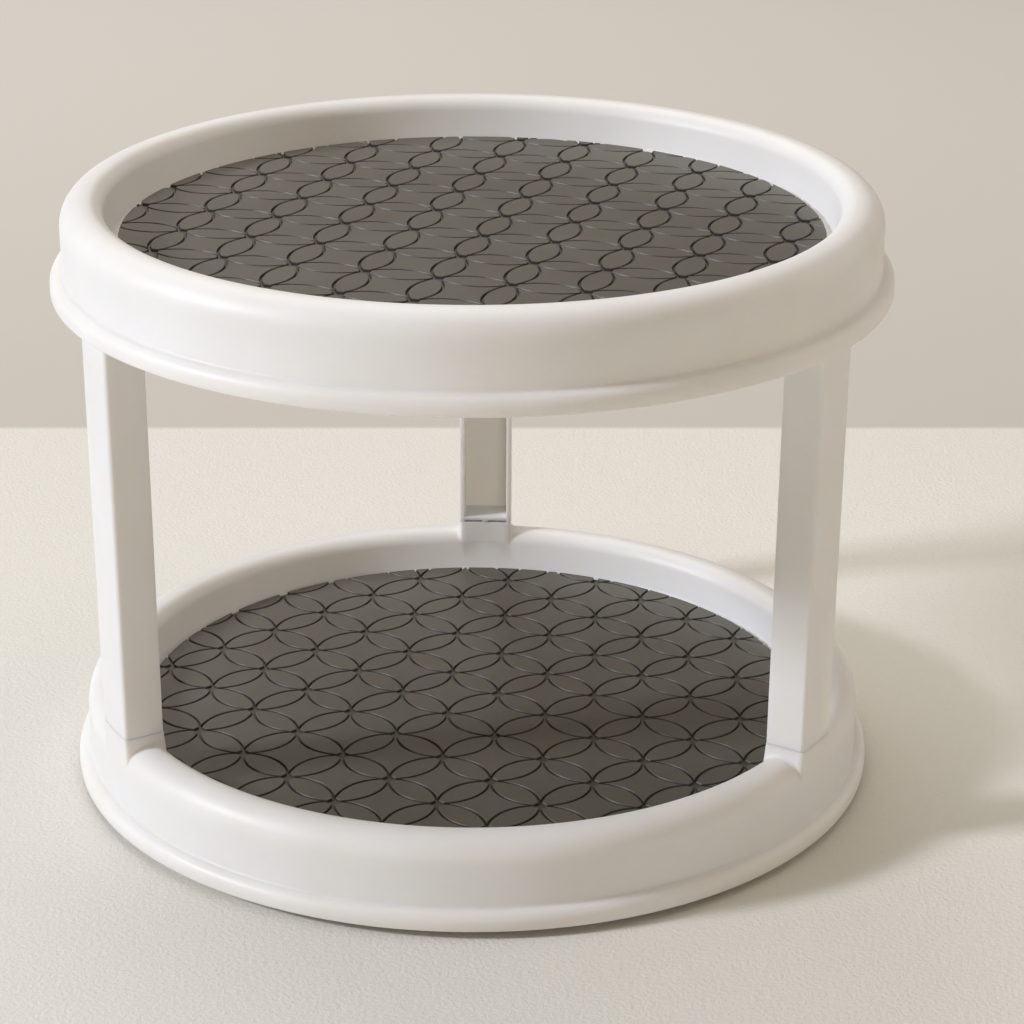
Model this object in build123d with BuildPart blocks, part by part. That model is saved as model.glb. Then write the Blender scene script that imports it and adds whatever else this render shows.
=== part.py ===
from build123d import *
from math import atan, cos, degrees, hypot, radians, sin
import os

os.makedirs("parts", exist_ok=True)

# Two-tier turntable. Two dished trays on three channel posts turn together on a roller ring over a low base.
# Frame: the origin lies on the table under the turning axis, +Z is up and +Y points to the rear post.
# Sizes are in millimetres. Tray heights are counted from each tray's own lower edge.

# Tiers
ground_gap = 2.5
tier_spacing = 156.3

# Tray section
flange_radius = 127.0
flange_height = 5.7
flange_round = 3.0
flange_step = 3.8
rim_height = 27.1
rim_width = 12.6
rim_outer_round = 7.4
rim_inner_round = 5.0
rim_thickness = 6.6
dish_wall_run = 2.2
dish_depth = 13.8
tray_wall = 2.0
floor_thickness = 2.2
flats_per_round = 2
flats_on_rim = 3

# Ribs under the floors
rib_bar_count = 3
rib_height = 2.6
rib_wall = 1.6

# Mats
mat_margin = 2.2
mat_thickness = 1.8

# Posts and the bosses that carry them
post_count = 3
rear_post_angle = 90.0
post_width = 18.0
post_wall = 1.6
post_floor = 2.0
post_round = 1.0
post_inset = 0.1
boss_height = 3.6
boss_bite = 0.1
tenon_width = 10.0
tenon_depth = 5.0
tenon_length = 10.0
tenon_lead = 0.8
socket_floor = 2.0
socket_clearance = 0.15
socket_anchor = 1.2
foot_relief = 0.7
foot_web = 2.0

# Base
base_margin = 8.4
base_stand = 1.5
base_thickness = 2.6
hub_wall = 2.4
hub_gap = 2.0

# Rubber feet
foot_count = 4
first_foot_angle = 45.0
foot_margin = 14.0
foot_size = 13.0
foot_inset = 0.6
foot_clearance = 0.1

# Roller ring
roller_count = 6
roller_margin = 16.0
roller_width = 6.0
roller_play = 0.15
window_play = 0.2
carrier_thickness = 3.0
carrier_rail = 4.0
carrier_gap = 1.0

# Centre pivot
spigot_radius = 5.0
spigot_play = 0.05
pivot_lift = 0.2
collar_radius = 7.6
collar_thickness = 1.0
collar_play = 0.6
screw_radius = 1.75
screw_length = 9.0
screw_hole_play = 0.05
screw_head_radius = 3.0
screw_head_height = 1.7
screw_head_cover = 0.2

# Tray levels that follow, counted from a tray's lower edge
floor_top = rim_height - dish_depth
floor_under = floor_top - floor_thickness
rib_under = floor_under - rib_height
boss_top = rim_height + boss_height

# Levels that follow, counted from the table
lower_level = ground_gap
upper_level = lower_level + tier_spacing
seam_level = lower_level + boss_top
base_top = base_stand + base_thickness
axle_level = (base_top + lower_level + floor_under) / 2
roller_radius = axle_level - base_top - roller_play
hub_top = lower_level + rib_under - hub_gap
screw_seat = base_stand + screw_head_cover + screw_head_height
spigot_end = screw_seat + collar_thickness
hub_shoulder = spigot_end + pivot_lift

# Radii and lengths that follow
skirt_radius = flange_radius - flange_step
rim_inner_radius = skirt_radius - rim_width
dish_radius = rim_inner_radius - dish_wall_run
mat_radius = dish_radius - mat_margin
base_radius = dish_radius - base_margin
foot_circle_radius = base_radius - foot_margin
roller_circle_radius = base_radius - roller_margin
wall_lean = dish_wall_run / dish_depth
rim_inner_centre = rim_inner_radius + rim_inner_round * (hypot(1, wall_lean) - wall_lean)
post_inner_radius = rim_inner_radius - post_inset
post_length = upper_level - seam_level
tenon_radius = (post_inner_radius + skirt_radius) / 2
socket_length = tenon_length + 2 * socket_clearance
socket_block = socket_length + socket_floor
window_width = roller_width + 2 * window_play
window_length = 2 * (roller_radius + window_play)
carrier_inner_radius = roller_circle_radius - window_width / 2 - carrier_rail
carrier_outer_radius = roller_circle_radius + window_width / 2 + carrier_rail
lower_rib_reach = carrier_inner_radius - carrier_gap
upper_rib_reach = dish_radius
recess_radius = collar_radius + collar_play
hub_radius = recess_radius + hub_wall

post_angles = [rear_post_angle + 360 / post_count * i for i in range(post_count)]
roller_angles = [360 / roller_count * i for i in range(roller_count)]
foot_angles = [first_foot_angle + 360 / foot_count * i for i in range(foot_count)]


def level_plane(level, angle=0.0):
    """A level plane whose first axis points outwards at an angle around the turning axis."""
    return Plane.XY.offset(level).rotated((0, 0, angle))


def section_plane(level, angle=0.0):
    """An upright plane through the turning axis: across is the radius and up is the height."""
    outwards = (cos(radians(angle)), sin(radians(angle)), 0)
    sideways = (sin(radians(angle)), -cos(radians(angle)), 0)
    return Plane((0, 0, level), x_dir=outwards, z_dir=sideways)


def axle_plane(angle):
    """The plane across a roller's axle at the turning axis: its normal points outwards along the axle."""
    outwards = (cos(radians(angle)), sin(radians(angle)), 0)
    return Plane((0, 0, axle_level), x_dir=(0, 0, 1), z_dir=outwards)


def round_points(centre, radius, first, last, flats=flats_per_round):
    """Points along a round of a tray's section, drawn as a few flats because its rings are so large."""
    turns = [first + (last - first) * i / flats for i in range(flats + 1)]
    return [(centre[0] + radius * cos(radians(a)), centre[1] + radius * sin(radians(a))) for a in turns]


def tray_shell(level):
    """The tray of either tier: dished floor, rolled rim, skirt and stepped flange, hollow underneath."""
    hollow_roof = rim_height - rim_thickness
    lean_angle = degrees(atan(wall_lean))
    flange_centre = (flange_radius - flange_round, flange_height - flange_round)
    rim_outer_spot = (skirt_radius - rim_outer_round, rim_height - rim_outer_round)
    rim_inner_spot = (rim_inner_centre, rim_height - rim_inner_round)
    with BuildPart() as shell:
        with BuildSketch(section_plane(level)):
            with BuildLine():
                Polyline(
                    (0, 0),
                    (flange_radius, 0),
                    *round_points(flange_centre, flange_round, 0, 90),
                    (skirt_radius, flange_height),
                    *round_points(rim_outer_spot, rim_outer_round, 0, 90, flats_on_rim),
                    *round_points(rim_inner_spot, rim_inner_round, 90, 180 - lean_angle),
                    (dish_radius, floor_top),
                    (0, floor_top),
                    close=True,
                )
            make_face()
        revolve(axis=Axis.Z)
        with BuildSketch(section_plane(level)):
            with BuildLine():
                Polyline(
                    (0, 0),
                    (skirt_radius - tray_wall, 0),
                    (skirt_radius - tray_wall, hollow_roof),
                    (rim_inner_radius + tray_wall, hollow_roof),
                    (rim_inner_radius + tray_wall, floor_under),
                    (0, floor_under),
                    close=True,
                )
            make_face()
        revolve(axis=Axis.Z, mode=Mode.SUBTRACT)
    return shell.part


def post_outline(plane, inner_radius, outer_radius):
    """A post's plan: parallel sides, and an outer face that is round with the skirt."""
    with BuildSketch(plane) as plan:
        with Locations(((inner_radius + flange_radius) / 2, 0)):
            Rectangle(flange_radius - inner_radius, post_width)
        Circle(outer_radius, mode=Mode.INTERSECT)
        fillet(plan.vertices().group_by(Axis.X)[-1], post_round)
    return plan.sketch


def tenon_outline(plane, clearance=0.0):
    """The plan of a post's tenon, or of its socket with the clearance around it."""
    with BuildSketch(plane) as plan:
        with Locations((tenon_radius, 0)):
            Rectangle(tenon_depth + 2 * clearance, tenon_width + 2 * clearance)
    return plan.sketch


def lower_boss(angle):
    """The boss on the lower rim: flush with the skirt outside, growing out of the dish wall inside."""
    root = boss_top - socket_block
    root_radius = rim_inner_radius - wall_lean * (rim_height - root) + boss_bite
    with BuildPart() as block:
        with BuildSketch(section_plane(lower_level, angle)):
            with BuildLine():
                Polyline(
                    (root_radius, root),
                    (flange_radius, root),
                    (flange_radius, boss_top),
                    (post_inner_radius, boss_top),
                    close=True,
                )
            make_face()
        extrude(amount=post_width, both=True)
        plan = post_outline(level_plane(lower_level + root, angle), root_radius, skirt_radius)
        extrude(plan, amount=socket_block, mode=Mode.INTERSECT)
    return block.part


def upper_socket_block(angle):
    """The block under the upper rim that holds a socket, from the tray's lower edge up into the dish wall."""
    plan = post_outline(level_plane(upper_level, angle), post_inner_radius, skirt_radius - tray_wall / 2)
    with BuildPart() as block:
        extrude(plan, amount=floor_under + socket_anchor)
    return block.part


def floor_ribs(level, reach):
    """Straight ribs that cross under the middle of a tray's floor."""
    with BuildPart() as ribs:
        with BuildSketch(level_plane(level + rib_under)):
            for i in range(rib_bar_count):
                Rectangle(2 * reach, rib_wall, rotation=rear_post_angle + 180 / rib_bar_count * i)
        extrude(amount=rib_height)
    return ribs.part


def mat(level):
    """A flat non-slip mat that lies on a tray's floor."""
    with BuildPart() as disc:
        with BuildSketch(level_plane(level + floor_top)):
            Circle(mat_radius)
        extrude(amount=mat_thickness)
    return disc.part


def post(angle):
    """An upright: a channel open towards the middle, closed at both ends, with a tenon at each end."""
    foot = level_plane(seam_level, angle)
    head = level_plane(upper_level, angle)
    channel_width = post_width - 2 * post_wall
    channel_depth = skirt_radius - post_wall - post_inner_radius
    relief_depth = tenon_radius - tenon_depth / 2 - post_inner_radius
    relief_width = (channel_width - foot_web) / 2
    relief_offset = (foot_web + relief_width) / 2
    inner_edge = (Align.MIN, Align.CENTER)
    with BuildPart() as upright:
        extrude(post_outline(foot, post_inner_radius, skirt_radius), amount=post_length)
        with BuildSketch(foot.offset(post_floor)):
            with Locations((post_inner_radius, 0)):
                Rectangle(channel_depth, channel_width, align=inner_edge)
        extrude(amount=post_length - 2 * post_floor, mode=Mode.SUBTRACT)
        with BuildSketch(foot):
            with Locations((post_inner_radius, relief_offset), (post_inner_radius, -relief_offset)):
                Rectangle(relief_depth, relief_width, align=inner_edge)
        extrude(amount=foot_relief, mode=Mode.SUBTRACT)
        extrude(tenon_outline(foot), amount=-tenon_length)
        extrude(tenon_outline(head), amount=tenon_length)
        ends = upright.faces().filter_by(Axis.Z).sort_by(Axis.Z)
        chamfer(ends[0].edges() + ends[-1].edges(), tenon_lead)
    return upright.part


def roller(angle):
    """A plain roller that lies in its window with its axle pointing at the turning axis."""
    with BuildPart() as cylinder:
        with BuildSketch(axle_plane(angle).offset(roller_circle_radius)):
            Circle(roller_radius)
        extrude(amount=roller_width / 2, both=True)
    return cylinder.part


def rubber_foot(angle):
    """A square rubber pad set into the underside of the base."""
    with BuildPart() as pad:
        with BuildSketch(level_plane(0, angle)):
            with Locations((foot_circle_radius, 0)):
                Rectangle(foot_size, foot_size)
        extrude(amount=base_stand + foot_inset)
    return pad.part


# Lower tray: bosses for the posts on its rim, ribs and the pivot spigot under its floor
lower_shell = tray_shell(lower_level)
lower_bosses = [lower_boss(angle) for angle in post_angles]
lower_ribs = floor_ribs(lower_level, lower_rib_reach)

with BuildPart() as lower_tray:
    add(lower_shell)
    add(lower_bosses)
    for post_angle in post_angles:
        mouth = tenon_outline(level_plane(seam_level, post_angle), socket_clearance)
        extrude(mouth, amount=-socket_length, mode=Mode.SUBTRACT)
    add(lower_ribs)
    with BuildSketch(level_plane(spigot_end)):
        Circle(spigot_radius)
    extrude(amount=lower_level + floor_under - spigot_end)
    with BuildSketch(level_plane(spigot_end)):
        Circle(screw_radius + screw_hole_play)
    extrude(amount=screw_length, mode=Mode.SUBTRACT)

# Upper tray: the same section, with sockets for the posts under its rim
upper_shell = tray_shell(upper_level)
upper_blocks = [upper_socket_block(angle) for angle in post_angles]
upper_ribs = floor_ribs(upper_level, upper_rib_reach)

with BuildPart() as upper_tray:
    add(upper_shell)
    add(upper_blocks)
    for post_angle in post_angles:
        mouth = tenon_outline(level_plane(upper_level, post_angle), socket_clearance)
        extrude(mouth, amount=socket_length, mode=Mode.SUBTRACT)
    add(upper_ribs)

# Base: a disc that the rollers run on, with the pivot hub and recesses for the feet
with BuildPart() as base_plate:
    with BuildSketch(level_plane(base_stand)):
        Circle(base_radius)
    extrude(amount=base_thickness)
    with BuildSketch(level_plane(base_stand)):
        Circle(hub_radius)
    extrude(amount=hub_top - base_stand)
    with BuildSketch(level_plane(base_stand)):
        Circle(recess_radius)
    extrude(amount=hub_shoulder - base_stand, mode=Mode.SUBTRACT)
    with BuildSketch(level_plane(base_stand)):
        Circle(spigot_radius + spigot_play)
    extrude(amount=hub_top - base_stand, mode=Mode.SUBTRACT)
    with BuildSketch(level_plane(base_stand)):
        with PolarLocations(foot_circle_radius, foot_count, start_angle=first_foot_angle):
            Rectangle(foot_size + 2 * foot_clearance, foot_size + 2 * foot_clearance)
    extrude(amount=foot_inset, mode=Mode.SUBTRACT)

# Roller carrier: a flat ring with a window for each roller
with BuildPart() as roller_carrier:
    with BuildSketch(level_plane(axle_level)):
        Circle(carrier_outer_radius)
        Circle(carrier_inner_radius, mode=Mode.SUBTRACT)
        with PolarLocations(roller_circle_radius, roller_count):
            Rectangle(window_width, window_length, mode=Mode.SUBTRACT)
    extrude(amount=carrier_thickness / 2, both=True)

# Pivot screw: its wide collar holds the base to the spigot with a little lift
with BuildPart() as pivot_screw:
    with BuildSketch(level_plane(screw_seat)):
        Circle(screw_head_radius)
    extrude(amount=-screw_head_height)
    with BuildSketch(level_plane(screw_seat)):
        Circle(collar_radius)
    extrude(amount=collar_thickness)
    with BuildSketch(level_plane(screw_seat)):
        Circle(screw_radius)
    extrude(amount=screw_length)

# Every piece by name
pieces = {
    "lower_tray": lower_tray.part,
    "upper_tray": upper_tray.part,
    "lower_mat": mat(lower_level),
    "upper_mat": mat(upper_level),
    "base_plate": base_plate.part,
    "roller_carrier": roller_carrier.part,
    "pivot_screw": pivot_screw.part,
}
for side, post_angle in zip(("rear", "left", "right"), post_angles):
    pieces[f"post_{side}"] = post(post_angle)
for number, roller_angle in enumerate(roller_angles, 1):
    pieces[f"roller_{number}"] = roller(roller_angle)
for number, foot_angle in enumerate(foot_angles, 1):
    pieces[f"foot_{number}"] = rubber_foot(foot_angle)

for name, piece in pieces.items():
    piece.label = name
    export_step(piece, f"parts/{name}.step")
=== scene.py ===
from math import asin, cos, pi, radians, sin, sqrt, tan

import bmesh
import bpy
from bpy.props import FloatProperty, FloatVectorProperty, IntProperty, PointerProperty
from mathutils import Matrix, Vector


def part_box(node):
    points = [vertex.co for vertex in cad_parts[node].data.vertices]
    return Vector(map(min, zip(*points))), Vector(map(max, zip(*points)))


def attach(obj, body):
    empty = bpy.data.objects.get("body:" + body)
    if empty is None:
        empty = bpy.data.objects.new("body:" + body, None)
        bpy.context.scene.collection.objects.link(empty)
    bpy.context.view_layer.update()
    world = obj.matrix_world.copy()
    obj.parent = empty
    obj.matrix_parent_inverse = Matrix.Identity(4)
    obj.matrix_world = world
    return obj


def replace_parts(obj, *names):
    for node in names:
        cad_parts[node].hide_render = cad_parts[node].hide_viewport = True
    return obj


bl_info = {
    "name": "Two-tier turntable",
    "version": (1, 0, 0),
    "blender": (4, 5, 0),
    "location": "View3D > Sidebar > Turntable",
    "description": "Models a two-tier kitchen turntable with grooved mats, and the stage it stands on",
    "category": "Object",
}

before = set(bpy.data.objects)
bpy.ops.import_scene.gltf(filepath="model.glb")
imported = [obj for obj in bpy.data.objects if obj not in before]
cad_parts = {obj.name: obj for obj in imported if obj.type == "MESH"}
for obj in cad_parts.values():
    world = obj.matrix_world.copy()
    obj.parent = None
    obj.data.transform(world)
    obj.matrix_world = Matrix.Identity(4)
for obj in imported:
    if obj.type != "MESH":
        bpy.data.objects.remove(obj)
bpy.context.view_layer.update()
lower_tray_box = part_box("lower_tray")
upper_tray_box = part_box("upper_tray")
rear_post_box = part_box("post_rear")

# Lengths in metres that only serve the modelling
tiny = 0.00001  # within which two spots count as one
slack = 0.0001  # within which a spot counts as lying on a plane
weld = 0.000005  # within which doubled vertices are merged
touch = 0.000001  # within which a cut counts as passing through a vertex
seed = 0.01  # side of a plane that is merged to a first point
clear = 0.001  # by which a cutting solid stands above what it cuts

slab_sides = 192  # sides of a round slab
edge_steps = 2  # steps of a small rounded edge
smooth_angle = radians(35)  # edges that turn further stay crisp
crease = radians(40)  # edges of a post that turn further are rounded
third = radians(120)  # the trays and posts repeat after a third of a turn
facing = 0.9  # least share of a face's normal along an axis that it faces

# Each lamp's name, place, aim and side in metres, power in watts and colour
lamps = (
    ("window_light", (-2.82, -0.79, 1.62), (0, 0, 0.08), 0.5, 84, "#EDF2FF"),
    ("ceiling_bounce", (0, 0.1, 1.7), (0, 0, 0.1), 1.4, 7, "#FFFFFF"),
    ("room_bounce", (0.3, -1.9, 0.35), (0, 0, 0.08), 1.0, 5.5, "#FFF3E4"),
    ("table_bounce", (1.4, 0.5, 0.7), (0, 0, 0.08), 1.2, 5.4, "#FFF3EA"),
    ("rear_bounce", (-0.5, 1.2, 1.6), (0, 0.2, 0), 1.2, 11, "#FFFCF8"),
)


# Values and units


def linear(code):
    """The linear colour of an sRGB hex value."""
    parts = [int(code[i : i + 2], 16) / 255 for i in (1, 3, 5)]
    return tuple(c / 12.92 if c <= 0.04045 else ((c + 0.055) / 1.055) ** 2.4 for c in parts)


def length(label, size, words):
    """A length that a user can change, given in millimetres."""
    return FloatProperty(
        name=label, description=words, default=size / 1000, min=0, precision=5, unit="LENGTH", subtype="DISTANCE"
    )


def turn(label, size, words):
    """An angle that a user can change, given in degrees."""
    return FloatProperty(name=label, description=words, default=radians(size), unit="ROTATION", subtype="ANGLE")


def tint(label, code, words):
    """A colour that a user can change, given as an sRGB hex value."""
    return FloatVectorProperty(name=label, description=words, default=linear(code), min=0, max=1, subtype="COLOR")


class TrayProperties(bpy.types.PropertyGroup):
    """Sizes of the two trays' common section and of the bosses on the lower rim"""

    flange_radius: length("Flange radius", lower_tray_box[1].x * 1000, "Outer radius of the step at the foot")
    flange_height: length("Flange height", 5.7, "Height of the step at the foot")
    flange_round: length("Flange round", 3.0, "Round along the top of the step")
    skirt_radius: length("Skirt radius", rear_post_box[1].y * 1000, "Radius of the outer wall, flush with the posts")
    skirt_fillet: length("Skirt fillet", 0.9, "Fillet between the step and the outer wall")
    rim_height: length("Rim height", 27.1, "Height of the rim above the tray's lower edge")
    rim_inner_radius: length("Rim inner radius", 110.6, "Radius where the dish wall would meet the rim's top")
    crown_outer: length("Outer crown round", 7.4, "Round on the rim's outer shoulder")
    crown_inner: length("Inner crown round", 5.0, "Round on the rim's inner shoulder")
    dish_radius: length("Dish radius", 108.4, "Radius of the dish at its floor")
    dish_depth: length("Dish depth", 13.8, "Depth of the dish below the rim")
    dish_fillet: length("Dish fillet", 2.0, "Fillet between the dish wall and its floor")
    wall: length("Wall", 2.0, "Thickness of the moulded walls")
    floor_thickness: length("Floor thickness", 2.2, "Thickness of the dish floor")
    roof_depth: length("Roof depth", 6.6, "Depth of the hollow's roof below the rim's top")
    lip_round: length("Lip round", 0.5, "Round on the lower lips of the skirt")
    hollow_round: length("Hollow round", 1.0, "Round in the corners of the hollow under the rim")
    boss_width: length("Boss width", 18.0, "Width of a boss on the lower rim")
    boss_height: length("Boss height", 3.6, "Height of a boss above the rim")
    boss_fillet: length("Boss fillet", 1.3, "Fillet between a boss and the rim's crown")
    boss_edge: length("Boss edge", 1.1, "Round on the upright edges of a boss")
    socket_depth: length("Socket depth", 12.3, "Depth of the block that holds a post's tenon")
    rib_wall: length("Rib wall", 1.6, "Thickness of a rib under a floor")
    rib_height: length("Rib height", 2.6, "Height of a rib under a floor")
    lower_rib_reach: length("Lower rib reach", 75.8, "Radius to which the lower tray's ribs run")
    upper_rib_reach: length("Upper rib reach", 108.4, "Radius to which the upper tray's ribs run")
    spigot_radius: length("Spigot radius", 5.0, "Radius of the pivot under the lower tray")
    spigot_end: length("Spigot end", 4.4, "Height of the pivot's end above the table")
    overlap: length("Overlap", 0.6, "How far ribs and blocks run into the wall that carries them")
    steps: IntProperty(name="Steps", description="Steps around a third of a tray", default=64, min=16)
    boss_steps: IntProperty(name="Boss steps", description="Steps of the fillet around a boss", default=5, min=1)


class PostProperties(bpy.types.PropertyGroup):
    """Sizes of the three channel posts"""

    width: length("Width", 18.0, "Width of a post across its outer face")
    inner_radius: length("Inner radius", rear_post_box[0].y * 1000, "Distance from the turning axis to the open side")
    outer_radius: length("Outer radius", rear_post_box[1].y * 1000, "Radius of the outer face")
    wall: length("Wall", 1.6, "Thickness of the channel's walls")
    end_wall: length("End wall", 2.0, "Thickness of the walls that close the channel's ends")
    outer_round: length("Outer round", 1.3, "Round on the upright outer edges")
    edge_round: length("Edge round", 0.2, "Round on every other edge")
    foot_relief: length("Foot relief", 0.7, "Height of the slots under the channel's lower end wall")
    relief_depth: length("Relief depth", 3.85, "Depth of those slots")
    foot_web: length("Foot web", 2.0, "Width of the web between the two slots")
    columns: IntProperty(name="Columns", description="Columns across a post's rounded outer face", default=8, min=2)
    round_steps: IntProperty(name="Round steps", description="Steps of an upright outer round", default=5, min=1)


class MatProperties(bpy.types.PropertyGroup):
    """Sizes of the mats and of their grid of overlapping circles"""

    pitch: length("Pitch", 22.0, "Side of one cell of the grid")
    groove_width: length("Groove width", 0.66, "Width of a pressed groove at its floor")
    groove_depth: length("Groove depth", 0.8, "Depth of a pressed groove")
    groove_slope: length("Groove slope", 0.1, "How far each side of a groove slopes outwards")
    worn_width: length("Worn width", 0.12, "Width of the softened edge along a groove")
    worn_depth: length("Worn depth", 0.15, "Depth of the softened edge along a groove")
    root: length("Root", 0.3, "How far an island reaches into the disc below the grooves")
    trim: length("Trim", 0.05, "How far the islands stay inside the disc's edge")
    edge_round: length("Edge round", 0.3, "Bevel around the mat")
    circle_sides: IntProperty(name="Circle sides", description="Sides of a circle of the grid", default=48, min=12)
    side_steps: IntProperty(name="Side steps", description="Steps along a diamond's hollow side", default=9, min=2)
    lower_turn: turn("Lower turn", 44.8, "Turn of the lower mat's grid")
    upper_turn: turn("Upper turn", 74.8, "Turn of the upper mat's grid")
    lower_node: FloatVectorProperty(
        name="Lower node", description="A meeting point of the lower grid", default=(-0.00717, 0.01728),
        size=2, precision=5, unit="LENGTH", subtype="XYZ"
    )
    upper_node: FloatVectorProperty(
        name="Upper node", description="A meeting point of the upper grid", default=(-0.01169, 0.01745),
        size=2, precision=5, unit="LENGTH", subtype="XYZ"
    )


class FinishProperties(bpy.types.PropertyGroup):
    """Colours of the moulded plastic, the rubber and the metal"""

    white: tint("White", "#EFEEEC", "Moulded white of the trays and posts")
    white_shade: tint("White shade", "#E9E7E3", "Faint flow marks in the moulded white")
    mat: tint("Mat", "#544F46", "Rubber of the mats")
    mat_bloom: tint("Mat bloom", "#5D594E", "Paler bloom on the mats' rubber")
    # Painted shade on the walls of the mats' grooves, half as strong on their floors
    groove: tint("Groove", "#312E28", "Rubber on the walls of the mats' grooves")
    foot: tint("Foot", "#4A4A49", "Rubber of the feet")
    acetal: tint("Acetal", "#E2DFD3", "Rollers and their ring")
    zinc: tint("Zinc", "#B9BBBD", "Plating of the pivot screw")


class StageProperties(bpy.types.PropertyGroup):
    """Camera, light, floor and backdrop"""

    floor: tint("Floor", "#E7E4DB", "Pale table top")
    backdrop: tint("Backdrop", "#CCC6BC", "Pale wall where it meets the table")
    # Painted light: the far end of the backdrop's paler rise, brighter than the lamps make it
    backdrop_far_painted_light: tint("Far backdrop", "#E0DDD5", "Pale wall higher up")
    heading: turn("Heading", 2.4, "Turn of the camera around the object")
    pitch: turn("Pitch", 25.304, "How far the camera looks down")
    distance: length("Distance", 848.3, "Level distance from the camera to the turning axis")
    height: length("Height", 421.4, "Height of the camera above the table")
    backdrop_distance: length("Backdrop distance", 298.0, "Distance from the turning axis to the backdrop")
    # The backdrop's painted light rises over this distance
    painted_light_depth: length("Backdrop depth", 900.0, "Distance over which the backdrop grows paler")
    backdrop_blur: length("Backdrop blur", 2.0, "Half width of the line where the table meets the backdrop")
    table_size: length("Table size", 12000.0, "Side of the table top")
    fill: tint("Fill", "#FFEAC8", "Dim warm room that fills the shadows")
    fill_level: FloatProperty(name="Fill level", description="Strength of the room's light", default=0.165, min=0)
    lens: FloatProperty(
        name="Lens", description="Focal length on a 36 mm sensor", default=101.87, subtype="DISTANCE_CAMERA"
    )
    shift: FloatVectorProperty(name="Shift", description="Camera shift", default=(0.03875, 0.17133), size=2)


# Modelling by hand


def start():
    """Leave nothing selected before a new primitive is added."""
    if bpy.context.object and bpy.context.object.mode != "OBJECT":
        bpy.ops.object.mode_set(mode="OBJECT")
    bpy.ops.object.select_all(action="DESELECT")


def edit():
    """Start shaping the newest primitive, with all of it selected."""
    bpy.ops.object.mode_set(mode="EDIT")
    bpy.ops.mesh.select_mode(type="VERT")
    bpy.ops.mesh.select_all(action="SELECT")


def pick(kind, test):
    """Select every vertex, edge or face of the piece in hand that passes a test."""
    bpy.ops.mesh.select_mode(type=kind)
    bpy.ops.mesh.select_all(action="DESELECT")
    mesh = bmesh.from_edit_mesh(bpy.context.object.data)
    found = [e for e in {"VERT": mesh.verts, "EDGE": mesh.edges, "FACE": mesh.faces}[kind] if test(e)]
    if not found:
        raise RuntimeError(f"nothing to select on {bpy.context.object.name}")
    for element in found:
        element.select_set(True)
    mesh.select_flush_mode()
    bmesh.update_edit_mesh(bpy.context.object.data)


def extrude(move):
    """Extrude what is selected by a move."""
    bpy.ops.mesh.extrude_region_move(TRANSFORM_OT_translate={"value": move})


def clean():
    """Close seams and poles and turn every face outwards."""
    bpy.ops.mesh.select_all(action="SELECT")
    bpy.ops.mesh.remove_doubles(threshold=weld)
    bpy.ops.mesh.normals_make_consistent(inside=False)


def modify(kind, **settings):
    """Add a modifier to the piece in hand and apply it."""
    modifier = bpy.context.object.modifiers.new(kind.title(), kind)
    for name, value in settings.items():
        setattr(modifier, name, value)
    bpy.ops.object.modifier_apply(modifier=modifier.name)


def take(piece):
    """Take a piece in hand: select it alone and make it active."""
    start()
    bpy.context.view_layer.objects.active = piece
    piece.select_set(True)


def combine(piece, other, how):
    """Join, cut or clip one solid with another and remove the other."""
    take(piece)
    modify("BOOLEAN", operation=how, solver="MANIFOLD", object=other)
    bpy.data.objects.remove(other)


def disc(radius, low, high):
    """A round slab between two levels."""
    start()
    middle = (0, 0, (high + low) / 2)
    bpy.ops.mesh.primitive_cylinder_add(vertices=slab_sides, radius=radius, depth=high - low, location=middle)
    bpy.ops.object.transform_apply()
    return bpy.context.object


def block(low, high, edge):
    """A block between two corners, with its edges rounded."""
    start()
    bpy.ops.mesh.primitive_cube_add(size=1)
    edit()
    bpy.ops.transform.resize(value=[b - a for a, b in zip(low, high)])
    bpy.ops.transform.translate(value=[(a + b) / 2 for a, b in zip(low, high)])
    bpy.ops.mesh.bevel(offset=edge, segments=edge_steps, profile=0.5, affect="EDGES")
    bpy.ops.object.mode_set(mode="OBJECT")
    return bpy.context.object


def post_blank(post, inner, outer, low, high):
    """A rear block with a post's plan: parallel sides, and an outer face that is round about the turning axis."""
    width = post.width
    start()
    bpy.ops.mesh.primitive_cube_add(size=1)
    edit()
    bpy.ops.transform.resize(value=(width, outer - inner, high - low))
    bpy.ops.transform.translate(value=(0, (outer + inner) / 2, (high + low) / 2))
    columns = [width * (i / post.columns - 0.5) for i in range(post.columns + 1)]
    for x in columns[1:-1]:
        bpy.ops.mesh.select_all(action="SELECT")
        bpy.ops.mesh.bisect(plane_co=(x, 0, 0), plane_no=(1, 0, 0))
    for x in columns:
        pick("VERT", lambda v: abs(v.co.x - x) < tiny and v.co.y > outer - tiny)
        bpy.ops.transform.translate(value=(0, sqrt(outer**2 - x**2) - outer, 0))
    corner = sqrt(outer**2 - width**2 / 4) - tiny
    pick("EDGE", lambda e: all(abs(abs(v.co.x) - width / 2) < tiny and v.co.y > corner for v in e.verts))
    bpy.ops.mesh.bevel(
        offset=post.outer_round, segments=post.round_steps, profile=0.5, affect="EDGES", clamp_overlap=False
    )
    bpy.ops.object.mode_set(mode="OBJECT")
    return bpy.context.object


def hand_over(name, node, material):
    """Finish the piece in hand: place in its mesh, shading, material, and the CAD node and body it belongs to."""
    bpy.ops.object.mode_set(mode="OBJECT")
    bpy.ops.object.transform_apply(location=True, rotation=True, scale=True)
    bpy.ops.object.shade_smooth_by_angle(angle=smooth_angle)
    piece = bpy.context.object
    piece.name = piece.data.name = name
    piece.data.materials.clear()
    piece.data.materials.append(material)
    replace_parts(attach(piece, "turntable"), node)


# Materials


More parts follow.
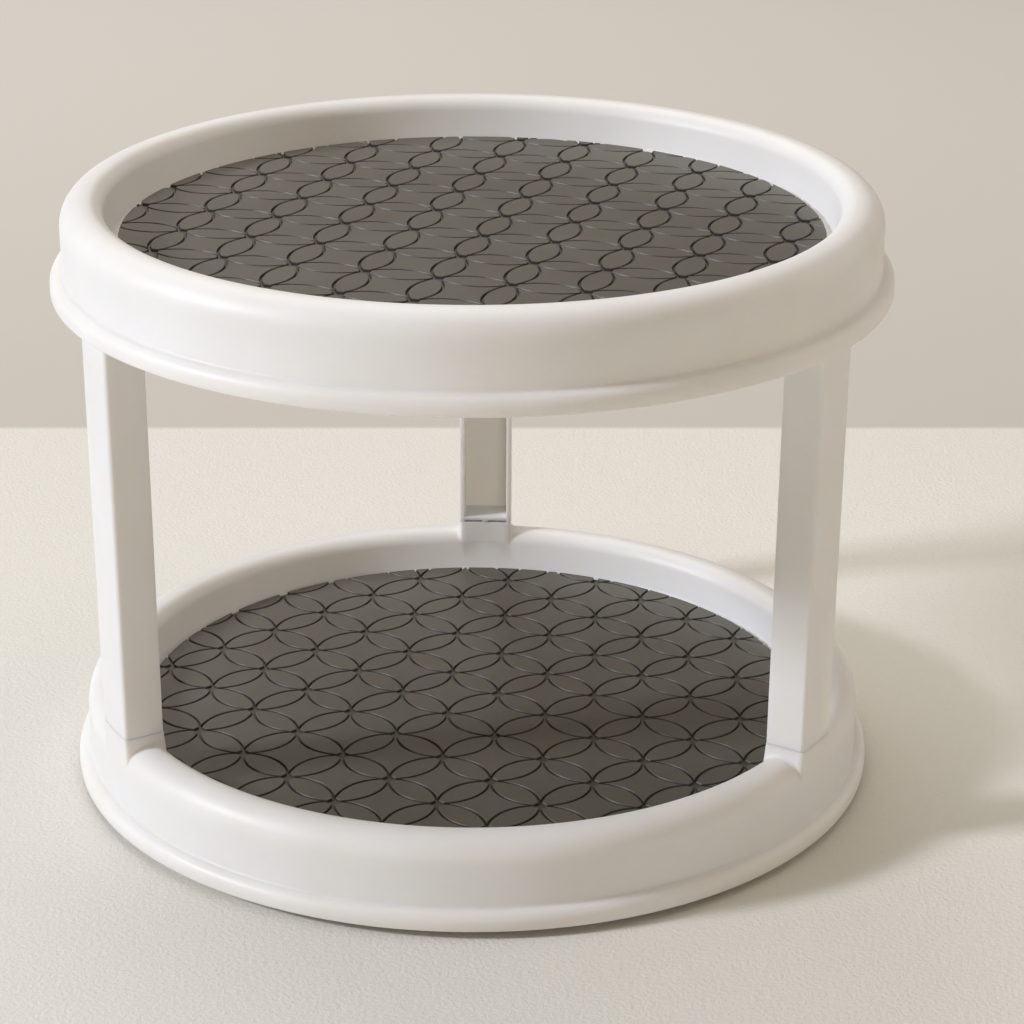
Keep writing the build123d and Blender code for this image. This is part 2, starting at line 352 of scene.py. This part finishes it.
def add_node(tree, kind, settings=(), links=()):
    """Add a node with its settings, by socket, colour stop or property, and link its inputs."""
    node = tree.nodes.new(kind)
    for key, value in dict(settings).items():
        if key in node.inputs:
            node.inputs[key].default_value = value
        elif key == "stops":
            while len(node.color_ramp.elements) < len(value):
                node.color_ramp.elements.new(1.0)
            for element, (position, shade) in zip(node.color_ramp.elements, value):
                element.position, element.color = position, (*shade, 1)
        else:
            setattr(node, key, value)
    for key, source in dict(links).items():
        tree.links.new(source, node.inputs[key])
    return node


def new_material(name):
    """An empty material with its shader and output."""
    material = bpy.data.materials.new(name)
    material.use_nodes = True
    tree = material.node_tree
    tree.nodes.clear()
    shader = add_node(tree, "ShaderNodeBsdfPrincipled")
    add_node(tree, "ShaderNodeOutputMaterial", links={"Surface": shader.outputs[0]})
    place = add_node(tree, "ShaderNodeTexCoord").outputs["Object"]
    return material, tree, shader, place


def moulded_polypropylene(finish):
    """Injection-moulded white polypropylene: a satin sheen, faint flow marks, a fine grain and a glow in thin walls."""
    material, tree, shader, place = new_material("moulded_white_polypropylene")
    # Flow marks of about 45 mm
    marks = {"Scale": 1 / 0.045, "Detail": 3.0, "Roughness": 0.5}
    flow = add_node(tree, "ShaderNodeTexNoise", marks, {"Vector": place})
    stops = (0.3, finish.white_shade), (0.7, finish.white)
    shade = add_node(tree, "ShaderNodeValToRGB", {"stops": stops}, {"Fac": flow.outputs["Fac"]})
    polish = add_node(tree, "ShaderNodeMapRange", {"To Min": 0.42, "To Max": 0.52}, {"Value": flow.outputs["Fac"]})
    # Mould grain of about 0.4 mm, drawn coarser than the real 0.1 mm so that it shows
    grain = add_node(tree, "ShaderNodeTexNoise", {"Scale": 1 / 0.0004, "Detail": 2.0}, {"Vector": place})
    bump = add_node(tree, "ShaderNodeBump", {"Strength": 0.06, "Distance": 0.0001}, {"Height": grain.outputs["Fac"]})
    for socket, node in (("Base Color", shade), ("Roughness", polish), ("Normal", bump)):
        tree.links.new(node.outputs[0], shader.inputs[socket])
    shader.inputs["IOR"].default_value = 1.49
    shader.inputs["Subsurface Weight"].default_value = 0.5
    shader.inputs["Subsurface Radius"].default_value = (1.0, 0.8, 0.55)
    shader.inputs["Subsurface Scale"].default_value = 0.004
    return material


def moulded_rubber(name, main, bloom, roughness, groove=None):
    """Moulded rubber: nearly matt, with a fine leathery grain, a patchy pale bloom and, on a mat, painted shade on the
    groove walls and floors.
    """
    material, tree, shader, place = new_material(name)
    # Patches of bloom of about 30 mm
    cloud = {"Scale": 1 / 0.03, "Detail": 4.0, "Roughness": 0.6}
    patch = add_node(tree, "ShaderNodeTexNoise", cloud, {"Vector": place})
    stops = (0.35, main), (0.7, bloom)
    shade = add_node(tree, "ShaderNodeValToRGB", {"stops": stops}, {"Fac": patch.outputs["Fac"]})
    # Grain of about 0.6 mm, drawn coarser than the real 0.2 mm so that it shows
    grain = add_node(tree, "ShaderNodeTexVoronoi", {"Scale": 1 / 0.0006}, {"Vector": place})
    relief = {"Strength": 0.16, "Distance": 0.0002}
    bump = add_node(tree, "ShaderNodeBump", relief, {"Height": grain.outputs["Distance"]})
    span = {"To Min": roughness - 0.05, "To Max": roughness + 0.06}
    sheen = add_node(tree, "ShaderNodeMapRange", span, {"Value": patch.outputs["Fac"]})
    if groove:
        dark, low, high, edge = groove
        height = add_node(tree, "ShaderNodeSeparateXYZ", links={"Vector": place})
        rise = add_node(tree, "ShaderNodeMapRange", {"From Min": low, "From Max": high}, {"Value": height.outputs["Z"]})
        # Painted shade in the grooves: their walls take the dark colour, their floors half of it, and the worn edge
        # above the walls keeps the rubber's colour like the top
        stops = (0.0, [0.5] * 3), (0.08, [0.0] * 3), (edge - 0.06, [0.0] * 3), (edge, [1.0] * 3)
        unshaded_share = add_node(tree, "ShaderNodeValToRGB", {"stops": stops}, {"Fac": rise.outputs[0]})
        shade = add_node(
            tree, "ShaderNodeMixRGB", {"Color1": (*dark, 1)}, {"Fac": unshaded_share.outputs[0], "Color2": shade.outputs[0]}
        )
    for socket, node in (("Base Color", shade), ("Roughness", sheen), ("Normal", bump)):
        tree.links.new(node.outputs[0], shader.inputs[socket])
    shader.inputs["IOR"].default_value = 1.52
    return material


def turned_acetal(finish):
    """Natural acetal: off-white, waxy and smooth, with fine marks from the tool."""
    material, tree, shader, place = new_material("natural_acetal")
    marks = add_node(tree, "ShaderNodeTexNoise", {"Scale": 1 / 0.002, "Detail": 3.0}, {"Vector": place})
    stops = (0.3, [0.93 * c for c in finish.acetal]), (0.7, finish.acetal)
    shade = add_node(tree, "ShaderNodeValToRGB", {"stops": stops}, {"Fac": marks.outputs["Fac"]})
    bump = add_node(tree, "ShaderNodeBump", {"Strength": 0.05, "Distance": 0.0001}, {"Height": marks.outputs["Fac"]})
    tree.links.new(shade.outputs[0], shader.inputs["Base Color"])
    tree.links.new(bump.outputs[0], shader.inputs["Normal"])
    shader.inputs["Roughness"].default_value = 0.36
    shader.inputs["IOR"].default_value = 1.48
    return material


def plated_steel(finish):
    """Zinc-plated steel: a bright grey metal with a cloudy, slightly uneven polish."""
    material, tree, shader, place = new_material("zinc_plated_steel")
    cloud = add_node(tree, "ShaderNodeTexNoise", {"Scale": 1 / 0.0015, "Detail": 4.0}, {"Vector": place})
    stops = (0.3, [0.88 * c for c in finish.zinc]), (0.7, finish.zinc)
    shade = add_node(tree, "ShaderNodeValToRGB", {"stops": stops}, {"Fac": cloud.outputs["Fac"]})
    polish = add_node(tree, "ShaderNodeMapRange", {"To Min": 0.25, "To Max": 0.4}, {"Value": cloud.outputs["Fac"]})
    tree.links.new(shade.outputs[0], shader.inputs["Base Color"])
    tree.links.new(polish.outputs[0], shader.inputs["Roughness"])
    shader.inputs["Metallic"].default_value = 1.0
    return material


def table_finish(stage):
    """Gritty pale plaster up to the backdrop's line, and beyond it a plainer tone that grows paler further back,
    painted light that the lamps don't give there.
    """
    material, tree, shader, place = new_material("pale_plaster")
    turned = add_node(tree, "ShaderNodeMapping", {"Rotation": (0, 0, -stage.heading)}, {"Vector": place})
    along = add_node(tree, "ShaderNodeSeparateXYZ", links={"Vector": turned.outputs[0]})
    line, blur = stage.backdrop_distance, stage.backdrop_blur
    edge = {"From Min": line - blur, "From Max": line + blur}
    beyond = add_node(tree, "ShaderNodeMapRange", edge, {"Value": along.outputs["Y"]})
    reach = {"From Min": line - blur, "From Max": line + stage.painted_light_depth}
    depth = add_node(tree, "ShaderNodeMapRange", reach, {"Value": along.outputs["Y"]})
    # Grit of about 1.5 mm
    grains = {"Scale": 1 / 0.0015, "Detail": 4.0, "Roughness": 0.6}
    sand = add_node(tree, "ShaderNodeTexNoise", grains, {"Vector": place})
    # The table's colour, then the backdrop's, then painted light that makes the backdrop paler further back
    stops = (0.0, stage.floor), (0.004, stage.backdrop), (1.0, stage.backdrop_far_painted_light)
    tone = add_node(tree, "ShaderNodeValToRGB", {"stops": stops}, {"Fac": depth.outputs[0]})
    grit = add_node(tree, "ShaderNodeMapRange", {"To Min": 0.45, "To Max": 0.03}, {"Value": beyond.outputs[0]})
    bump = add_node(
        tree, "ShaderNodeBump", {"Distance": 0.001}, {"Height": sand.outputs["Fac"], "Strength": grit.outputs[0]}
    )
    tree.links.new(tone.outputs[0], shader.inputs["Base Color"])
    tree.links.new(bump.outputs[0], shader.inputs["Normal"])
    shader.inputs["Roughness"].default_value = 0.9
    shader.inputs["Specular IOR Level"].default_value = 0.2
    return material


# Trays


def tray_section(tray):
    """The corners of a tray's section, each as radius, height, round and steps of the round."""
    floor_top = tray.rim_height - tray.dish_depth
    floor_under = floor_top - tray.floor_thickness
    roof = tray.rim_height - tray.roof_depth
    hollow_out, hollow_in = tray.skirt_radius - tray.wall, tray.rim_inner_radius + tray.wall
    return [
        (0, floor_top, 0, 0),
        (tray.dish_radius, floor_top, tray.dish_fillet, 4),
        (tray.rim_inner_radius, tray.rim_height, tray.crown_inner, 9),
        (tray.skirt_radius, tray.rim_height, tray.crown_outer, 9),
        (tray.skirt_radius, tray.flange_height, tray.skirt_fillet, 5),
        (tray.flange_radius, tray.flange_height, tray.flange_round, 7),
        (tray.flange_radius, 0, tray.lip_round, 2),
        (hollow_out, 0, tray.lip_round, 2),
        (hollow_out, roof, tray.hollow_round, 2),
        (hollow_in, roof, tray.hollow_round, 2),
        (hollow_in, floor_under, tray.hollow_round, 2),
        (0, floor_under, 0, 0),
    ]


def round_corner(before, corner, after, radius, steps):
    """Round one corner of a drawn section."""
    bend = (corner - before).angle(after - corner)
    pick("VERT", lambda v: (v.co - corner).length < tiny)
    bpy.ops.mesh.bevel(
        offset_type="OFFSET", offset=radius * tan(bend / 2), segments=steps, profile=0.5,
        affect="VERTICES", clamp_overlap=False
    )


def draw_section(corners, level, angle):
    """Draw a tray's section on an upright plane through the turning axis."""
    spots = [Vector((r * cos(angle), r * sin(angle), level + z)) for r, z, _, _ in corners]
    bpy.ops.mesh.primitive_plane_add(size=seed)
    edit()
    bpy.ops.mesh.merge(type="CENTER")
    bpy.ops.transform.translate(value=spots[0])
    for spot, following in zip(spots, spots[1:]):
        extrude(following - spot)
    for i in range(1, len(corners) - 1):
        round_corner(spots[i - 1], spots[i], spots[i + 1], *corners[i][2:])


def boss_outline(tray, skirt, dish):
    """The upright planes around the foot of the rear boss, as places and outward normals, with its corners rounded."""
    side, edge = tray.boss_width / 2 + tray.boss_fillet, tray.boss_edge
    planes = []
    for hand in (1, -1):
        planes.append(((hand * side, 0, 0), (hand, 0, 0)))
        across = hand * (side - edge)
        for radius, way in ((skirt - edge, 1), (dish + edge, -1)):
            centre = Vector((across, sqrt(radius**2 - across**2), 0))
            for step in (1, 2, 3):
                lean = radians(90) * step / 4
                normal = Vector((hand * cos(lean), way * sin(lean), 0))
                planes.append((centre + edge * normal, normal))
    return planes


def raise_boss(tray, inner, level):
    """Raise the rear boss out of the crown: cut its outline, then lift it in steps that fillet its foot."""
    half, fillet = tray.boss_width / 2, tray.boss_fillet
    top = level + tray.rim_height + tray.boss_height
    crown = level + tray.rim_height - max(tray.crown_outer, tray.crown_inner)
    ridge = (tray.skirt_radius + tray.rim_inner_radius) / 2
    outer_lean, inner_lean = 0.02, 0.2  # how far up the crown's faces look at least, on either side of its ridge

    def on_crown(face):
        spot = face.calc_center_median()
        lean = outer_lean if spot.xy.length > ridge else inner_lean
        return face.normal.z > lean and spot.z > crown and abs(spot.x) < 2 * half and spot.y > 0

    pick("FACE", on_crown)
    mesh = bmesh.from_edit_mesh(bpy.context.object.data)
    depths = [v.co.y for v in mesh.verts if v.select and abs(v.co.x) < slack]
    dish, skirt = min(depths), max(depths)
    planes = [(Vector(place), Vector(normal)) for place, normal in boss_outline(tray, skirt, dish)]
    for place, normal in planes:
        near = 2 * half if normal.y == 0 else 4 * tray.boss_edge
        pick("FACE", lambda f: on_crown(f) and (normal.y == 0 or (f.calc_center_median() - place).xy.length < near))
        bpy.ops.mesh.bisect(plane_co=place, plane_no=normal)

    def inside(face):
        spot = face.calc_center_median()
        return all((spot - place).xy.dot(normal.xy) < 0 for place, normal in planes)

    pick("FACE", lambda f: on_crown(f) and inside(f))
    across, rise = half + fillet, 0
    for step in range(1, tray.boss_steps + 1):
        lean = radians(90) * step / tray.boss_steps
        now_across, now_rise = half + fillet * (1 - sin(lean)), fillet * (1 - cos(lean))
        extrude((0, 0, now_rise - rise))
        bpy.ops.transform.resize(value=(now_across / across, 1, 1), center_override=(0, 0, 0))
        across, rise = now_across, now_rise
    extrude((0, 0, tray.boss_height - rise))
    bpy.ops.transform.resize(value=(1, (skirt - inner) / (skirt - dish), 0), center_override=(0, skirt, top))


def add_blocks(piece, tray, low, high, near, far):
    """Join the three blocks that hold the posts' tenons to the inside of a tray's rim."""
    for angle in (0, 120, 240):
        holder = block((-tray.boss_width / 2, near, low), (tray.boss_width / 2, far, high), tray.lip_round / 2)
        holder.rotation_euler.z = radians(angle)
        combine(piece, holder, "UNION")


def add_ribs(piece, tray, floor_under, reach):
    """Join three crossing ribs to the underside of a tray's floor."""
    for angle in (0, 60, 120):
        half, under, over = tray.rib_wall / 2, floor_under - tray.rib_height, floor_under + tray.overlap
        rib = block((-half, -reach, under), (half, reach, over), tray.lip_round / 2)
        rib.rotation_euler.z = radians(angle)
        combine(piece, rib, "UNION")


class TURNTABLE_OT_trays(bpy.types.Operator):
    """Model both trays: draw their section, spin a third of it, copy that round, and add ribs and blocks below"""

    bl_idname = "turntable.trays"
    bl_label = "Trays"

    def execute(self, context):
        tray, post = context.scene.turntable_trays, context.scene.turntable_posts
        white = moulded_polypropylene(context.scene.turntable_finish)
        floor_under = tray.rim_height - tray.dish_depth - tray.floor_thickness
        inside_skirt = tray.skirt_radius - tray.wall + tray.overlap
        inside_dish = tray.rim_inner_radius + tray.wall - tray.overlap
        for name, box, reach in (
            ("lower_tray", lower_tray_box, tray.lower_rib_reach),
            ("upper_tray", upper_tray_box, tray.upper_rib_reach),
        ):
            level = box[0].z
            start()
            draw_section(tray_section(tray), level, (pi - third) / 2)
            bpy.ops.mesh.select_all(action="SELECT")
            bpy.ops.mesh.spin(steps=tray.steps, angle=-third, center=(0, 0, 0), axis=(0, 0, 1))
            clean()
            if name == "lower_tray":
                raise_boss(tray, post.inner_radius, level)
            bpy.ops.mesh.select_all(action="SELECT")
            for _ in range(2):
                bpy.ops.mesh.duplicate()
                bpy.ops.transform.rotate(value=third, orient_axis="Z", center_override=(0, 0, 0))
            clean()
            bpy.ops.object.mode_set(mode="OBJECT")
            piece = context.object
            add_ribs(piece, tray, level + floor_under, reach)
            if name == "lower_tray":
                root = level + tray.rim_height + tray.boss_height - tray.socket_depth
                roof = level + tray.rim_height - tray.roof_depth
                add_blocks(piece, tray, root, roof + tray.overlap, inside_dish, inside_skirt)
                combine(piece, disc(tray.spigot_radius, tray.spigot_end, level + floor_under + tray.overlap), "UNION")
            else:
                add_blocks(piece, tray, level, level + floor_under + 2 * tray.overlap, post.inner_radius, inside_skirt)
            hand_over(name + "_moulding", name, white)
        return {"FINISHED"}


# Posts


def model_post(post):
    """Model the rear post: a channel open towards the middle, on a foot with two thin slots under its inner edge."""
    low, high = lower_tray_box[1].z, upper_tray_box[0].z
    outer, inner = post.outer_radius, post.inner_radius
    channel, web = post.width / 2 - post.wall, post.foot_web / 2
    bottom, slot_end = low + post.foot_relief, inner + post.relief_depth
    post_blank(post, inner, outer, bottom, high)
    edit()
    cuts = [((x, 0, 0), (1, 0, 0)) for x in (channel, -channel, web, -web)]
    cuts.append(((0, slot_end, 0), (0, 1, 0)))
    cuts += [((0, 0, z), (0, 0, 1)) for z in (low + post.end_wall, high - post.end_wall)]
    for place, normal in cuts:
        bpy.ops.mesh.select_all(action="SELECT")
        bpy.ops.mesh.bisect(plane_co=place, plane_no=normal)

    def in_channel(face):
        spot = face.calc_center_median()
        between_ends = low + post.end_wall < spot.z < high - post.end_wall
        return face.normal.y < -facing and abs(spot.x) < channel and between_ends

    def on_foot(face):
        spot = face.calc_center_median()
        in_slot = web < abs(spot.x) < channel and spot.y < slot_end
        return face.normal.z < -facing and spot.z < bottom + slack and not in_slot

    pick("FACE", in_channel)
    extrude((0, outer - post.wall - inner, 0))
    pick("FACE", on_foot)
    extrude((0, 0, -post.foot_relief))
    clean()
    bpy.ops.object.mode_set(mode="OBJECT")
    modify("BEVEL", width=post.edge_round, segments=edge_steps, limit_method="ANGLE", angle_limit=crease)


class TURNTABLE_OT_posts(bpy.types.Operator):
    """Model one post and copy it round the turning axis"""

    bl_idname = "turntable.posts"
    bl_label = "Posts"

    def execute(self, context):
        white = bpy.data.materials["moulded_white_polypropylene"]
        model_post(context.scene.turntable_posts)
        first = context.object
        for name, angle in (("post_left", 120), ("post_right", 240)):
            take(first)
            bpy.ops.object.duplicate()
            context.object.rotation_euler.z = radians(angle)
            hand_over(name + "_moulding", name, white)
        take(first)
        hand_over("post_rear_moulding", "post_rear", white)
        return {"FINISHED"}


# Mats


def stand_up(mat, low, high):
    """Draw the flat outline in hand up to an island with steep sides and a softened top edge."""
    clean()
    pick("FACE", lambda f: True)
    extrude((0, 0, high - mat.groove_depth - low))
    clean()
    pick("FACE", lambda f: f.normal.z > facing)
    bpy.ops.mesh.inset(thickness=mat.groove_slope, depth=mat.groove_depth - mat.worn_depth)
    bpy.ops.mesh.inset(thickness=mat.worn_width, depth=mat.worn_depth)
    clean()
    bpy.ops.object.mode_set(mode="OBJECT")


def model_petal(mat, low, high):
    """Model the island between two overlapping circles, along the first side of a cell."""
    start()
    radius = mat.pitch / sqrt(2) - mat.groove_width / 2
    bpy.ops.mesh.primitive_circle_add(vertices=mat.circle_sides, radius=radius, fill_type="NGON")
    edit()
    bpy.ops.transform.translate(value=(mat.pitch / 2, -mat.pitch / 2, low))
    bpy.ops.mesh.bisect(plane_co=(0, 0, 0), plane_no=(0, 1, 0), clear_inner=True, threshold=touch)
    bpy.ops.mesh.select_all(action="SELECT")
    bpy.ops.mesh.duplicate()
    bpy.ops.transform.resize(value=(1, -1, 1), center_override=(0, 0, low))
    clean()
    pick("EDGE", lambda e: all(abs(v.co.y) < tiny for v in e.verts))
    bpy.ops.mesh.dissolve_edges()
    stand_up(mat, low, high)
    return bpy.context.object


def model_diamond(mat, low, high):
    """Model the hollow-sided island in the middle of a cell."""
    circle = mat.pitch / sqrt(2)
    reach = circle + mat.groove_width / 2
    tip = mat.pitch / 2 - sqrt((reach**2 - circle**2) / 2)
    start()
    bpy.ops.mesh.primitive_plane_add(size=seed)
    edit()
    bpy.ops.mesh.merge(type="CENTER")
    bpy.ops.transform.translate(value=(tip, -tip, low))
    bpy.ops.mesh.spin(steps=mat.side_steps, angle=2 * asin(tip / reach), center=(mat.pitch, 0, low), axis=(0, 0, 1))
    bpy.ops.mesh.select_all(action="SELECT")
    for _ in range(3):
        bpy.ops.mesh.duplicate()
        bpy.ops.transform.rotate(value=radians(90), orient_axis="Z", center_override=(0, 0, low))
    bpy.ops.mesh.select_all(action="SELECT")
    bpy.ops.mesh.remove_doubles(threshold=weld)
    bpy.ops.mesh.edge_face_add()
    bpy.ops.mesh.select_all(action="SELECT")
    bpy.ops.transform.translate(value=(mat.pitch / 2, mat.pitch / 2, 0))
    stand_up(mat, low, high)
    return bpy.context.object


def model_islands(mat, low, high, reach):
    """Copy the petal and the diamond over the grid as one object."""
    count = 2 * int(reach / mat.pitch + 2)
    petal = model_petal(mat, low, high)
    bpy.ops.object.duplicate()
    upright = bpy.context.object
    upright.rotation_euler.z = radians(90)
    bpy.ops.object.transform_apply()
    for island in (petal, upright, model_diamond(mat, low, high)):
        take(island)
        for way in ((mat.pitch, 0, 0), (0, mat.pitch, 0)):
            modify(
                "ARRAY", fit_type="FIXED_COUNT", count=count, use_relative_offset=False,
                use_constant_offset=True, constant_offset_displace=way
            )
    petal.select_set(True)
    upright.select_set(True)
    bpy.ops.object.join()
    edit()
    bpy.ops.transform.translate(value=(-mat.pitch * count / 2, -mat.pitch * count / 2, 0))
    bpy.ops.object.mode_set(mode="OBJECT")
    return bpy.context.object


class TURNTABLE_OT_mats(bpy.types.Operator):
    """Model both mats: islands on a grid, clipped to the mat's circle and standing on a thin disc"""

    bl_idname = "turntable.mats"
    bl_label = "Mats"

    def execute(self, context):
        mat, finish = context.scene.turntable_mats, context.scene.turntable_finish
        for name, grid_turn, grid_node in (
            ("lower_mat", mat.lower_turn, mat.lower_node),
            ("upper_mat", mat.upper_turn, mat.upper_node),
        ):
            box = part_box(name)
            radius, high = box[1].x, box[1].z
            groove_floor = high - mat.groove_depth
            # The grooves' painted shade: its colour, the groove floor and top between which it is laid, and where the
            # worn edge starts
            groove = finish.groove, groove_floor, high, 1 - mat.worn_depth / mat.groove_depth
            rubber = moulded_rubber(
                f"moulded_{name}_rubber", finish.mat, finish.mat_bloom, roughness=0.44, groove=groove
            )
            islands = model_islands(mat, groove_floor - mat.root, high, radius)
            islands.rotation_euler.z = grid_turn
            islands.location = (*grid_node[:2], 0)
            bpy.ops.object.transform_apply()
            combine(islands, disc(radius - mat.trim, box[0].z, high + clear), "INTERSECT")
            base = disc(radius, box[0].z, groove_floor)
            edit()
            pick("EDGE", lambda e: all(v.co.z < box[0].z + tiny for v in e.verts))
            bpy.ops.mesh.bevel(offset=mat.edge_round, segments=edge_steps, profile=0.5, affect="EDGES")
            bpy.ops.object.mode_set(mode="OBJECT")
            combine(base, islands, "UNION")
            hand_over(name + "_pressed", name, rubber)
        return {"FINISHED"}


# Hidden bearing


class TURNTABLE_OT_bearing(bpy.types.Operator):
    """Give the base, its feet, the rollers, their ring and the pivot screw their finishes"""

    bl_idname = "turntable.bearing"
    bl_label = "Base and bearing"

    def execute(self, context):
        finish = context.scene.turntable_finish
        finishes = {
            "base_plate": bpy.data.materials["moulded_white_polypropylene"],
            "foot": moulded_rubber("moulded_foot_rubber", finish.foot, [1.2 * c for c in finish.foot], roughness=0.7),
            "roller": turned_acetal(finish),
            "pivot_screw": plated_steel(finish),
        }
        for name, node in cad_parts.items():
            for prefix, material in finishes.items():
                if name.startswith(prefix):
                    node.data.materials.clear()
                    node.data.materials.append(material)
        return {"FINISHED"}


# Stage


def add_lamp(name, place, aim, size, power, code):
    """Add a soft square lamp that points at a spot."""
    start()
    bpy.ops.object.light_add(type="AREA", location=place)
    lamp = bpy.context.object
    lamp.name = name
    lamp.data.energy, lamp.data.size, lamp.data.color = power, size, linear(code)
    lamp.rotation_euler = (Vector(aim) - Vector(place)).to_track_quat("-Z", "Y").to_euler()


def pale_room(stage):
    """A dim warm room that fills the shadows, and that the camera sees as more of the pale wall."""
    world = bpy.data.worlds.new("pale_room")
    world.use_nodes = True
    tree = world.node_tree
    tree.nodes.clear()
    fill = add_node(tree, "ShaderNodeBackground", {"Color": (*stage.fill, 1), "Strength": stage.fill_level})
    wall = add_node(tree, "ShaderNodeBackground", {"Color": (*stage.backdrop, 1), "Strength": 1.0})
    seen = add_node(tree, "ShaderNodeLightPath").outputs["Is Camera Ray"]
    room = add_node(tree, "ShaderNodeMixShader", links={"Fac": seen, 1: fill.outputs[0], 2: wall.outputs[0]})
    add_node(tree, "ShaderNodeOutputWorld", links={"Surface": room.outputs[0]})
    return world


class TURNTABLE_OT_stage(bpy.types.Operator):
    """Set up the table, the light and the camera"""

    bl_idname = "turntable.stage"
    bl_label = "Stage"

    def execute(self, context):
        stage, scene = context.scene.turntable_stage, context.scene
        start()
        bpy.ops.mesh.primitive_plane_add(size=stage.table_size)
        floor = context.object
        floor.name = "table_top"
        floor.rotation_euler.z = stage.heading
        bpy.ops.object.transform_apply()
        floor.data.materials.append(table_finish(stage))
        for lamp in lamps:
            add_lamp(*lamp)
        scene.world = pale_room(stage)
        start()
        bpy.ops.object.camera_add(
            location=(stage.distance * sin(stage.heading), -stage.distance * cos(stage.heading), stage.height),
            rotation=(pi / 2 - stage.pitch, 0, stage.heading),
        )
        camera = context.object
        camera.name = "photo_camera"
        camera.data.sensor_width = 36
        camera.data.lens = stage.lens
        camera.data.shift_x, camera.data.shift_y = stage.shift
        camera.data.clip_start, camera.data.clip_end = 0.01, 50
        scene.camera = camera
        scene.view_settings.view_transform = "Standard"
        return {"FINISHED"}


# Add-on


class VIEW3D_PT_turntable(bpy.types.Panel):
    """Lists the steps that make the turntable, with their sizes and colours"""

    bl_label = "Two-tier turntable"
    bl_space_type = "VIEW_3D"
    bl_region_type = "UI"
    bl_category = "Turntable"

    def draw(self, context):
        for step, group in steps:
            self.layout.operator(step)
            settings = getattr(context.scene, group)
            for name in settings.__annotations__:
                self.layout.prop(settings, name)


groups = {
    "turntable_trays": TrayProperties,
    "turntable_posts": PostProperties,
    "turntable_mats": MatProperties,
    "turntable_finish": FinishProperties,
    "turntable_stage": StageProperties,
}
steps = (
    ("turntable.trays", "turntable_trays"),
    ("turntable.posts", "turntable_posts"),
    ("turntable.mats", "turntable_mats"),
    ("turntable.bearing", "turntable_finish"),
    ("turntable.stage", "turntable_stage"),
)
operators = (TURNTABLE_OT_trays, TURNTABLE_OT_posts, TURNTABLE_OT_mats, TURNTABLE_OT_bearing, TURNTABLE_OT_stage)
classes = (*groups.values(), *operators, VIEW3D_PT_turntable)


def register():
    for kind in classes:
        bpy.utils.register_class(kind)
    for name, kind in groups.items():
        setattr(bpy.types.Scene, name, PointerProperty(type=kind))


def unregister():
    for name in groups:
        delattr(bpy.types.Scene, name)
    for kind in reversed(classes):
        bpy.utils.unregister_class(kind)


def main():
    register()
    bpy.ops.turntable.trays()
    bpy.ops.turntable.posts()
    bpy.ops.turntable.mats()
    bpy.ops.turntable.bearing()
    bpy.ops.turntable.stage()
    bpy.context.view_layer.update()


if __name__ == "__main__":
    main()
